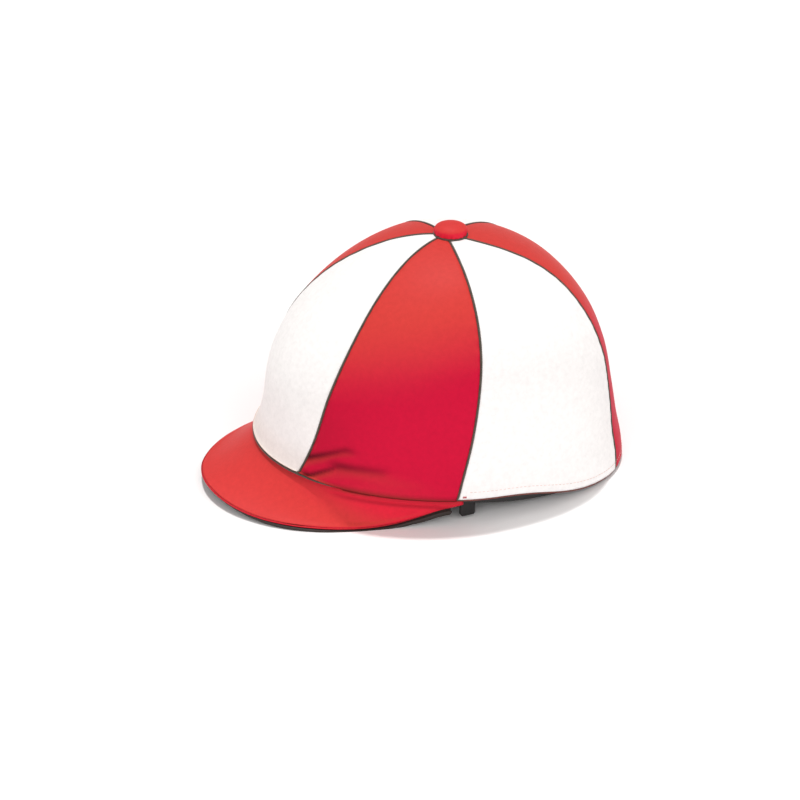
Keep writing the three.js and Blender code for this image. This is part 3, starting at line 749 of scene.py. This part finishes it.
def add_gore(name, first_seam, second_seam, ahead, material, folds, hem):
    """One gore from one seam round to another, whose angle is taken ahead by so much; folds is 1 or -1 for
    the side they start from, and 0 for none."""
    shares = np.linspace(0, 1, GORE_ROWS)[:, None] ** GORE_ROW_POWER
    shares = GORE_TOP + (1 - GORE_TOP) * shares
    across = even_and_edges(GORE_COLUMNS)[None, :]
    start, end = seam_angle(first_seam, shares), seam_angle(second_seam, shares) + ahead
    around = np.linalg.norm((crown_surface(shares, start) - [0, AXIS_Y, 0])[..., :2], axis=-1)
    trim = SEAM_HALF / around
    angle = start + trim + (end - start - 2 * trim) * across
    share = cloth_share(shares, angle)
    surface = crown_surface(share, angle)
    hem_height = rim_lift(angle) + hem_rise(angle)
    over_rim, over_hem = surface[..., 2] - rim_lift(angle), surface[..., 2] - hem_height
    reach = np.linalg.norm((surface - [0, AXIS_Y, 0])[..., :2], axis=-1)
    from_seam = np.minimum(angle - start, end - angle) * reach
    lift = hem_flare(angle, over_rim) - SEAM_DIP * np.exp(-(from_seam / SEAM_ROUND) ** 2)
    height = surface[..., 2]
    ripple = np.sin(2 * math.pi * height / PUCKER_PITCH + 2 * np.sin(height / PUCKER_DRIFT))
    near_seam = np.exp(-(from_seam / PUCKER_REACH) ** 2)
    lift = lift + PUCKER * ripple * near_seam * smooth_share(over_hem, 0, PUCKER_END)
    # Painted shade: how much the colour is darkened, in the folds' valleys and hollow, beside the peak's
    # seam, and towards the front gore's lower edge
    line, painted_shade = HEM_LINE, np.zeros_like(lift)
    if hem:
        lift = lift + HEM_SWELL * smooth_share(over_hem, HEM_TURN_UP, HEM_TURN_UP - HEM_STEP)
    elif folds:
        raised, painted_shade = fold_lift(across if folds > 0 else 1 - across, over_rim)
        lift = lift + raised * smooth_share(from_seam, 0, FOLD_START)
        turned_in = smooth_share(turn_from_front(angle), *TURNED_IN_SIDES)
        edge = TURNED_IN_SHADE * (turned_in * smooth_share(over_hem, TURNED_IN_SHADE_HEIGHT, 0))
        painted_shade = np.maximum(painted_shade, edge)
        line = HEM_LINE + (PEAK_LINE - HEM_LINE) * turned_in
    else:
        painted_shade = BROW_SHADE * smooth_share(over_hem, BROW_SHADE_HEIGHT, 0)
        painted_shade = painted_shade + EDGE_SHADE * smooth_share(over_hem, EDGE_SHADE_HEIGHT, 0)
    normal = crown_normal(share, angle)
    low = np.maximum(0, line + GORE_CLOTH / 2 - np.maximum(0, over_hem))
    outer = surface + normal * lift[..., None]
    inner = outer - normal * GORE_CLOTH
    for grid in (outer, inner):
        grid[..., 2] += low
        grid[-1, :, 2] = hem_height[-1] + low[-1]
    points, faces, owner = closed_sheet(outer, inner)
    gore = add_mesh(name, points, faces, grid_uvs(outer)[owner], painted_shade.ravel()[owner])
    gore.data.materials.append(material)
    return gore


# The rear gore's second seam lies past the angle where a turn is complete
for name, first, second, shade, folds, flat, area in (
    ("front", "right_front", "left_front", "white", 0, (0.115, 0.22), 0.0185),
    ("front_left", "left_front", "left_side", "red", 1, (0.12, 0.22), 0.0178),
    ("rear_left", "left_side", "left_rear", "white", 0, (0.14, 0.23), 0.022),
    ("rear", "left_rear", "right_rear", "red", 0, (0.175, 0.24), 0.0288),
    ("rear_right", "right_rear", "right_side", "white", 0, (0.14, 0.23), 0.022),
    ("front_right", "right_side", "right_front", "red", -1, (0.12, 0.22), 0.0178),
):
    ahead = 2 * math.pi if name == "rear" else 0.0
    gore = add_gore(f"gore_{name}", first, second, ahead, CLOTHS[shade], folds, hem="rear" in name)
    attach(gore, "root")
    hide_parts(f"panel_{name}")


# The seams
# The gores are joined by overlocked seams of dark thread: a core cord in the channel between two gores,
# wrapped by short slanting stitches.

SEAM_PITCH = 0.00105
SEAM_TOP = 0.018
SEAM_POINTS = 140
SEAM_SUNK = 0.0004
DARK_THREAD = (0.070, 0.052, 0.036)


def thread_material(name, color):
    """Spun thread: a fine twist as bump, and slightly uneven colour."""
    material, shader, add, link = node_material(name, color, roughness=0.7)
    place = add("ShaderNodeTexCoord")["Object"]
    twist = add("ShaderNodeTexNoise", {"Vector": place, "Scale": 2600.0, "Detail": 2.0})
    uneven = add("ShaderNodeTexNoise", {"Vector": place, "Scale": 320.0, "Detail": 3.0})
    speck = add("ShaderNodeMapRange", {
        "Value": uneven["Fac"], "From Min": 0.3, "From Max": 0.7, "To Min": 0.75, "To Max": 1.25,
    })
    tinted = add("ShaderNodeVectorMath", {0: color, "Scale": speck["Result"]}, operation="SCALE")
    bump = add("ShaderNodeBump", {"Height": twist["Fac"], "Strength": 0.5, "Distance": 0.0001})
    link(tinted[0], shader.inputs["Base Color"])
    link(bump["Normal"], shader.inputs["Normal"])
    shader.inputs["Sheen Weight"].default_value = 0.15
    return material


def stitch_tree():
    """Node tree: a line whose points carry the surface's normal as "out" becomes a row of stitches, each a
    short bent thread, with a core cord under them if it has a radius."""
    tree = bpy.data.node_groups.new("stitches along a line", "GeometryNodeTree")
    tree.interface.new_socket(name="Line", in_out="INPUT", socket_type="NodeSocketGeometry")
    for name in ("Pitch", "Across", "Along", "Rise", "Sink", "Thread radius", "Core radius", "Jitter"):
        tree.interface.new_socket(name=name, in_out="INPUT", socket_type="NodeSocketFloat")
    tree.interface.new_socket(name="Seed", in_out="INPUT", socket_type="NodeSocketInt")
    tree.interface.new_socket(name="Thread", in_out="INPUT", socket_type="NodeSocketMaterial")
    tree.interface.new_socket(name="Stitches", in_out="OUTPUT", socket_type="NodeSocketGeometry")
    add = node_adder(tree)
    given = add("NodeGroupInput")
    result = tree.nodes.new("NodeGroupOutput")

    def half(value, sign):
        return add("ShaderNodeMath", {0: value, 1: 0.5 * sign}, operation="MULTIPLY")[0]

    line = add("GeometryNodeMeshToCurve", {"Mesh": given["Line"]})["Curve"]
    places = add("GeometryNodeResampleCurve", {"Curve": line, "Length": given["Pitch"]}, mode="LENGTH")
    sunk = half(given["Sink"], -2)
    start = add("ShaderNodeCombineXYZ", {
        "X": half(given["Along"], -1), "Y": half(given["Across"], -1), "Z": sunk,
    })
    middle = add("ShaderNodeCombineXYZ", {"Z": given["Rise"]})
    end = add("ShaderNodeCombineXYZ", {
        "X": half(given["Along"], 1), "Y": half(given["Across"], 1), "Z": sunk,
    })
    bent = add("GeometryNodeCurveQuadraticBezier", {
        "Resolution": 5, "Start": start[0], "Middle": middle[0], "End": end[0],
    })
    ring = add("GeometryNodeCurvePrimitiveCircle", {"Resolution": 6, "Radius": given["Thread radius"]})
    stitch = add("GeometryNodeCurveToMesh", {
        "Curve": bent["Curve"], "Profile Curve": ring["Curve"], "Fill Caps": True,
    })
    outward = add("GeometryNodeInputNamedAttribute", {"Name": "out"}, data_type="FLOAT_VECTOR")
    tangent = add("GeometryNodeInputTangent")
    turned = add("FunctionNodeAxesToRotation", {
        0: outward["Attribute"], 1: tangent["Tangent"],
    }, primary_axis="Z", secondary_axis="X")
    least = half(given["Jitter"], -2)
    wobble = add("FunctionNodeRandomValue", {"Min": least, "Max": given["Jitter"], "Seed": given["Seed"]})
    twist = add("ShaderNodeCombineXYZ", {"Z": wobble["Value"]})
    twist = add("FunctionNodeEulerToRotation", {0: twist[0]})
    turned = add("FunctionNodeRotateRotation", {
        "Rotation": turned[0], "Rotate By": twist[0],
    }, rotation_space="LOCAL")
    sewn = add("GeometryNodeInstanceOnPoints", {
        "Points": places["Curve"], "Instance": stitch["Mesh"], "Rotation": turned[0],
    })
    core_ring = add("GeometryNodeCurvePrimitiveCircle", {"Resolution": 8, "Radius": given["Core radius"]})
    core_line = add("GeometryNodeResampleCurve", {"Curve": line, "Length": 0.002}, mode="LENGTH")
    core = add("GeometryNodeCurveToMesh", {
        "Curve": core_line["Curve"], "Profile Curve": core_ring["Curve"], "Fill Caps": True,
    })
    wanted = add("FunctionNodeCompare", {
        0: given["Core radius"], 1: 1e-5,
    }, data_type="FLOAT", operation="GREATER_THAN")
    chosen = add("GeometryNodeSwitch", {0: wanted[0], "True": core["Mesh"]}, input_type="GEOMETRY")
    joined = tree.nodes.new("GeometryNodeJoinGeometry")
    tree.links.new(sewn["Instances"], joined.inputs[0])
    tree.links.new(chosen[0], joined.inputs[0])
    real = add("GeometryNodeRealizeInstances", {"Geometry": joined.outputs[0]})
    shaded = add("GeometryNodeSetShadeSmooth", {"Geometry": real[0]})
    finished = add("GeometryNodeSetMaterial", {"Geometry": shaded[0], "Material": given["Thread"]})
    tree.links.new(finished[0], result.inputs[0])
    return tree


STITCHES = stitch_tree()


def sew(name, line, outward, material, seed, **sizes):
    """A row of stitches along a line of points, as one plain mesh."""
    mesh = bpy.data.meshes.new(name)
    mesh.from_pydata([tuple(p) for p in line], [(i, i + 1) for i in range(len(line) - 1)], [])
    stored = mesh.attributes.new("out", "FLOAT_VECTOR", "POINT")
    stored.data.foreach_set("vector", np.asarray(outward, np.float32).ravel())
    sewn = add_object(name, mesh)
    modifier = sewn.modifiers.new("stitches", "NODES")
    modifier.node_group = STITCHES
    values = {"Core radius": 0.0, "Jitter": 0.0, "Sink": 0.0, "Seed": seed, "Thread": material}
    values.update({key.replace("_", " ").capitalize(): value for key, value in sizes.items()})
    for item in STITCHES.interface.items_tree:
        if item.name in values:
            modifier[item.identifier] = values[item.name]
    made = bpy.data.meshes.new_from_object(sewn.evaluated_get(bpy.context.evaluated_depsgraph_get()))
    sewn.modifiers.clear()
    sewn.data = made
    made.name = name
    return sewn


dark_thread = thread_material("dark overlock thread", DARK_THREAD)
for number, name in enumerate(SEAMS):
    shares = np.linspace(SEAM_TOP, 1, SEAM_POINTS)
    angles = seam_angle(name, shares)
    down = cloth_share(shares, angles)
    flare = hem_flare(angles, crown_surface(down, angles)[:, 2] - rim_lift(angles))
    line = crown_point(down, angles, flare - SEAM_SUNK)
    line[:, 2] += np.maximum(0, HEM_LINE - (line[:, 2] - rim_lift(angles) - hem_rise(angles)))
    thread = sew(
        f"overlock_{name}", line, crown_normal(shares, angles), dark_thread, seed=number,
        pitch=SEAM_PITCH, across=0.0017, along=0.0009, rise=0.0007, sink=0.0002,
        thread_radius=0.00026, core_radius=0.00075, jitter=0.12,
    )
    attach(thread, "root")
    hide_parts(f"seam_{name}")


# The seam over the peak
# The same dark overlock joins the peak's cloth to the gores. It shows below the white front gore, and the
# stretched red cloth rolls over it towards the ears.

SEAM_SIDES = (26, 40)
SEAM_SET_IN = 0.0014
SEAM_RAISED = 0.0004
SEAM_HEIGHT = 0.0011
PEAK_SEAM_POINTS = 220
peak_angles = np.linspace(-PEAK_TURN, PEAK_TURN, PEAK_SEAM_POINTS)
hidden = smooth_share(turn_from_front(peak_angles), *SEAM_SIDES)
line = rim_point(peak_angles, -SEAM_SUNK - SEAM_SET_IN * hidden, SEAM_HEIGHT + SEAM_RAISED * hidden)
thread = sew(
    "overlock_peak", line, crown_normal(1.0, peak_angles), dark_thread, seed=7,
    pitch=SEAM_PITCH, across=0.0019, along=0.0009, rise=0.0008, sink=0.0002,
    thread_radius=0.0003, core_radius=0.0009, jitter=0.12,
)
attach(thread, "root")
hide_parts("peak_seam")


# The hem's edge
# Round the sides and the rear, the hem ends in a narrow edge that is bound with red-brown thread. A line of
# pale stitches holds the turned-up cloth above it, and a red tack ends it beside the peak.

HEM_SUNK = 0.0009
HEM_HEIGHT = 0.0012
HEM_POINTS = 420
HEM_GAP = 0.003
HEM_STITCH_UP = 0.0078
HEM_STITCH_TURNS = (77, 283)
HEM_STITCH_POINTS = 400
TACK_HEIGHT = 0.0040
TACK_RAISED = 0.0002
TACK_TURNS = (73.9, 75.0)
TACK_STITCHES = 5
HEM_THREAD = (0.17, 0.035, 0.022)
HEM_PINK = (0.78, 0.50, 0.44)
TACK_RED = (0.42, 0.02, 0.04)


def hem_line(angle, out, up):
    """A line of points beside the hem: out is level, away from the cloth's face, and up is over the hem."""
    away = hem_flare(angle, hem_rise(angle)) + out
    place = crown_surface(cloth_share(1.0, angle), angle) + level_outward(angle) * away[..., None]
    place[..., 2] = rim_lift(angle) + hem_rise(angle) + up
    return place


hem_thread = thread_material("red-brown binding thread", HEM_THREAD)
hem_angles = np.linspace(PEAK_TURN + HEM_GAP, 2 * math.pi - PEAK_TURN - HEM_GAP, HEM_POINTS)
line = hem_line(hem_angles, -HEM_SUNK, HEM_HEIGHT)
edge = sew(
    "bound_hem_edge", line, crown_normal(1.0, hem_angles), hem_thread, seed=8, pitch=0.0011, across=0.0014,
    along=0.0006, rise=0.0006, sink=0.0002, thread_radius=0.00024, core_radius=0.0007, jitter=0.1,
)
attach(edge, "root")
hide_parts("hem_edge")


def on_cloth(angle, over_hem, raise_by=0.0):
    """Points on the cloth's face at a height over the hem, and the directions that face out of it there."""
    height = rim_lift(angle) + hem_rise(angle) + over_hem
    share = row_at_height(height) / row_at_height(rim_lift(angle))
    flare = hem_flare(angle, height - rim_lift(angle))
    return crown_point(share, angle, flare + HEM_SWELL * 0.5 + raise_by), crown_normal(share, angle)


stitch_angles = np.linspace(*np.radians(HEM_STITCH_TURNS), HEM_STITCH_POINTS)
line, outward = on_cloth(stitch_angles, HEM_STITCH_UP)
hem_stitches = sew(
    "hem_stitches", line, outward, thread_material("pink hem thread", HEM_PINK), seed=9, pitch=0.0034,
    across=0.0, along=0.0024, rise=0.00035, sink=0.0003, thread_radius=0.00016,
)
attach(hem_stitches, "root")

tack_thread = thread_material("red tack thread", TACK_RED)
for side, name in ((1, "left"), (-1, "right")):
    tack_angles = side * np.radians(np.linspace(*TACK_TURNS, TACK_STITCHES))
    line, outward = on_cloth(tack_angles, TACK_HEIGHT, TACK_RAISED)
    tack = sew(
        f"hem_tack_{name}", line, outward, tack_thread, seed=10, pitch=0.0006, across=0.0016, along=0.0002,
        rise=0.0006, sink=0.0003, thread_radius=0.0003,
    )
    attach(tack, "root")


# The peak's stitches
# A line of fine red stitches runs along the peak, three millimetres inside its edge, and holds the cloth's
# turned edge below the board.

EDGE_STITCH_IN = 0.0034
EDGE_STITCH_TO = 0.93
EDGE_STITCH_POINTS = 260
EDGE_THREAD = (0.34, 0.006, 0.02)
SECTION_POINTS = 60
fine_shares = np.linspace(0, 1, SECTION_POINTS)
line, outward = [], []
for turn in np.linspace(-EDGE_STITCH_TO, EDGE_STITCH_TO, EDGE_STITCH_POINTS):
    outs, ups = peak_section(np.full(SECTION_POINTS, turn), fine_shares, 0.0)
    length = np.hypot(np.diff(outs, prepend=outs[0]), np.diff(ups, prepend=ups[0])).cumsum()
    place = np.interp(length[-1] - EDGE_STITCH_IN, length, fine_shares)
    pair_out, pair_up = peak_section(np.full(2, turn), np.array([place, place]), np.array([0.0, -0.001]))
    pair = rim_point(np.full(2, turn * PEAK_TURN), pair_out, pair_up)
    line.append(pair[0])
    outward.append(unit(pair[1] - pair[0]))
edge_stitches = sew(
    "peak_stitches", np.array(line), np.array(outward), thread_material("red peak thread", EDGE_THREAD),
    seed=11, pitch=0.0026, across=0.0, along=0.0018, rise=0.0003, sink=0.0003, thread_radius=0.00016,
)
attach(edge_stitches, "root")


# The button
# A flattened dome covered with the same red cloth, whose fullness is gathered under its edge. It hides the
# point where the six seams meet, and dark thread holds it down.

BUTTON_RADIUS = 0.0127
BUTTON_TOP = 0.0078
BUTTON_WAIST = 0.0026
BUTTON_FOOT = 0.96
GATHERS = 17
GATHER_DEPTH = 0.012
GATHER_AT_FOOT = 0.022
GATHER_DRIFT = 1.6
FOOT_SUNK = 0.0002
RING_RAISED = 0.0004
BUTTON_COLUMNS = 102
DOME_ROWS = 22
SKIRT_ROWS = 9
button_y = AXIS_Y + BUTTON_SET_BACK


def crown_height_at(x, y):
    """Height of the crown's cloth near the top, over a level place."""
    angle = np.arctan2(x, AXIS_Y - y)
    surface = crown_surface(np.linspace(0, 0.2, 60)[:, None], angle[None, :])
    reach = np.hypot(surface[..., 0], surface[..., 1] - AXIS_Y)
    away = np.hypot(x, y - AXIS_Y)
    return np.array([np.interp(away[i], reach[:, i], surface[:, i, 2]) for i in range(len(angle))])


round_angles = np.linspace(0, 2 * math.pi, BUTTON_COLUMNS, endpoint=False)
gathers = np.sin(GATHERS * round_angles + GATHER_DRIFT * np.sin(3 * round_angles))
waist = button_low.z + BUTTON_WAIST
button_rows = []
for turn in np.linspace(0, math.pi / 2, DOME_ROWS):
    gather = 1 + GATHER_DEPTH * (turn / 1.57) ** 3 * gathers
    radius = BUTTON_RADIUS * math.sin(turn) ** 0.95 * gather
    height = waist + (BUTTON_TOP - BUTTON_WAIST) * math.cos(turn) ** 0.9
    button_rows.append((radius, np.full(BUTTON_COLUMNS, height)))
foot_radius = BUTTON_RADIUS * BUTTON_FOOT
foot_x, foot_y = foot_radius * np.cos(round_angles), button_y + foot_radius * np.sin(round_angles)
foot = crown_height_at(foot_x, foot_y) - FOOT_SUNK
for share in np.linspace(0, 1, SKIRT_ROWS)[1:]:
    gather = 1 + (GATHER_DEPTH + GATHER_AT_FOOT * share) * gathers
    radius = BUTTON_RADIUS * (1 - (1 - BUTTON_FOOT) * share**2) * gather
    button_rows.append((radius, waist + (foot - waist) * share))
grid = np.stack([
    np.stack([radius * np.cos(round_angles), button_y + radius * np.sin(round_angles), height], -1)
    for radius, height in button_rows
])
faces = grid_faces(len(grid), BUTTON_COLUMNS, wrap=True)
faces.append(tuple(range(len(grid) * BUTTON_COLUMNS - 1, (len(grid) - 1) * BUTTON_COLUMNS - 1, -1)))
button_uvs = (grid[..., :2] - grid[0, 0, :2]).reshape(-1, 2)
button = add_mesh("cloth_button", grid.reshape(-1, 3), faces, button_uvs)
merge_points(button)
# The button takes the peak's lighter copy of the red, which is painted light
button.data.materials.append(lighter_peak_red)
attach(button, "root")
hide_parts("button")

# The ring of dark thread is partly painted shade: besides holding the button down, it darkens the gap under
# its edge
RING_POINTS = 120
ring_angles = np.linspace(0, 2 * math.pi, RING_POINTS)
ring_x, ring_y = BUTTON_RADIUS * np.cos(ring_angles), button_y + BUTTON_RADIUS * np.sin(ring_angles)
line = np.stack([ring_x, ring_y, crown_height_at(ring_x, ring_y) + RING_RAISED], -1)
outward = unit(np.stack([np.cos(ring_angles), np.sin(ring_angles), np.ones(RING_POINTS)], -1))
button_thread = sew(
    "thread_under_button", line, outward, dark_thread, seed=12, pitch=SEAM_PITCH, across=0.0015,
    along=0.0009, rise=0.0007, sink=0.0003, thread_radius=0.00026, core_radius=0.0008, jitter=0.12,
)
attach(button_thread, "root")


# The table, the light and the camera
# A plain white table top, a key light from high over the wearer's right, and soft fills from the left.

FLOOR_HALF = 6
TABLE_WHITE = (0.96, 0.96, 0.96)
floor_corners = [(x * FLOOR_HALF, y * FLOOR_HALF, 0) for x, y in ((-1, -1), (1, -1), (1, 1), (-1, 1))]
floor = add_mesh("table_top", floor_corners, [(0, 1, 2, 3)])
material, shader, add, link = node_material("plain white table", TABLE_WHITE, roughness=0.9)
shader.inputs["Specular IOR Level"].default_value = 0.0
floor.data.materials.append(material)

VIEW_TURN = math.radians(66.471)
VIEW_RISE = math.radians(29.729)
VIEW_DISTANCE = 1.9350945
VIEW_FOCAL = 108.797
AIM_LEFT = 0.035105
AIM_UP = 0.035310


def direction(turn, rise):
    """Level turn from the front towards the wearer's left, and rise over the table, as a direction."""
    return Vector((math.sin(turn) * math.cos(rise), -math.cos(turn) * math.cos(rise), math.sin(rise)))


back = direction(VIEW_TURN, VIEW_RISE)
right = Vector((math.cos(VIEW_TURN), math.sin(VIEW_TURN), 0))
stand = Vector((0, AXIS_Y, 0)) + back * VIEW_DISTANCE
aim = Vector((0, AXIS_Y, 0)) - right * AIM_LEFT + back.cross(right) * AIM_UP
camera = add_object("camera", bpy.data.cameras.new("camera"))
camera.location = stand
camera.rotation_mode = "QUATERNION"
camera.rotation_quaternion = (aim - stand).to_track_quat("-Z", "Y")
camera.data.lens = VIEW_FOCAL
camera.data.sensor_width = 36.0
bpy.context.scene.camera = camera

# Each light's turn, rise and width are degrees, and its width is how wide it looks from the table
for name, turn, rise, strength, width, color in (
    ("key", -104, 73, 1.85, 3, (1.0, 0.99, 0.98)),
    ("side", 120, 30, 0.65, 60, (1.0, 1.0, 1.0)),
    ("fill", 60, 14, 1.0, 60, (1.0, 1.0, 1.0)),
    ("front", 15, 35, 0.2, 60, (1.0, 0.99, 0.98)),
):
    light = bpy.data.lights.new(name, "SUN")
    light.energy = strength
    light.angle = math.radians(width)
    light.color = color
    lamp = add_object(name, light)
    lamp.rotation_mode = "QUATERNION"
    lamp.rotation_quaternion = direction(math.radians(turn), math.radians(rise)).to_track_quat("Z", "Y")

WORLD_COLOR = (1.0, 0.94, 0.925, 1)
WORLD_STRENGTH = 0.43
world = bpy.data.worlds.new("studio")
world.use_nodes = True
background = world.node_tree.nodes["Background"].inputs
background["Color"].default_value = WORLD_COLOR
background["Strength"].default_value = WORLD_STRENGTH
bpy.context.scene.world = world
bpy.context.scene.view_settings.view_transform = "Standard"
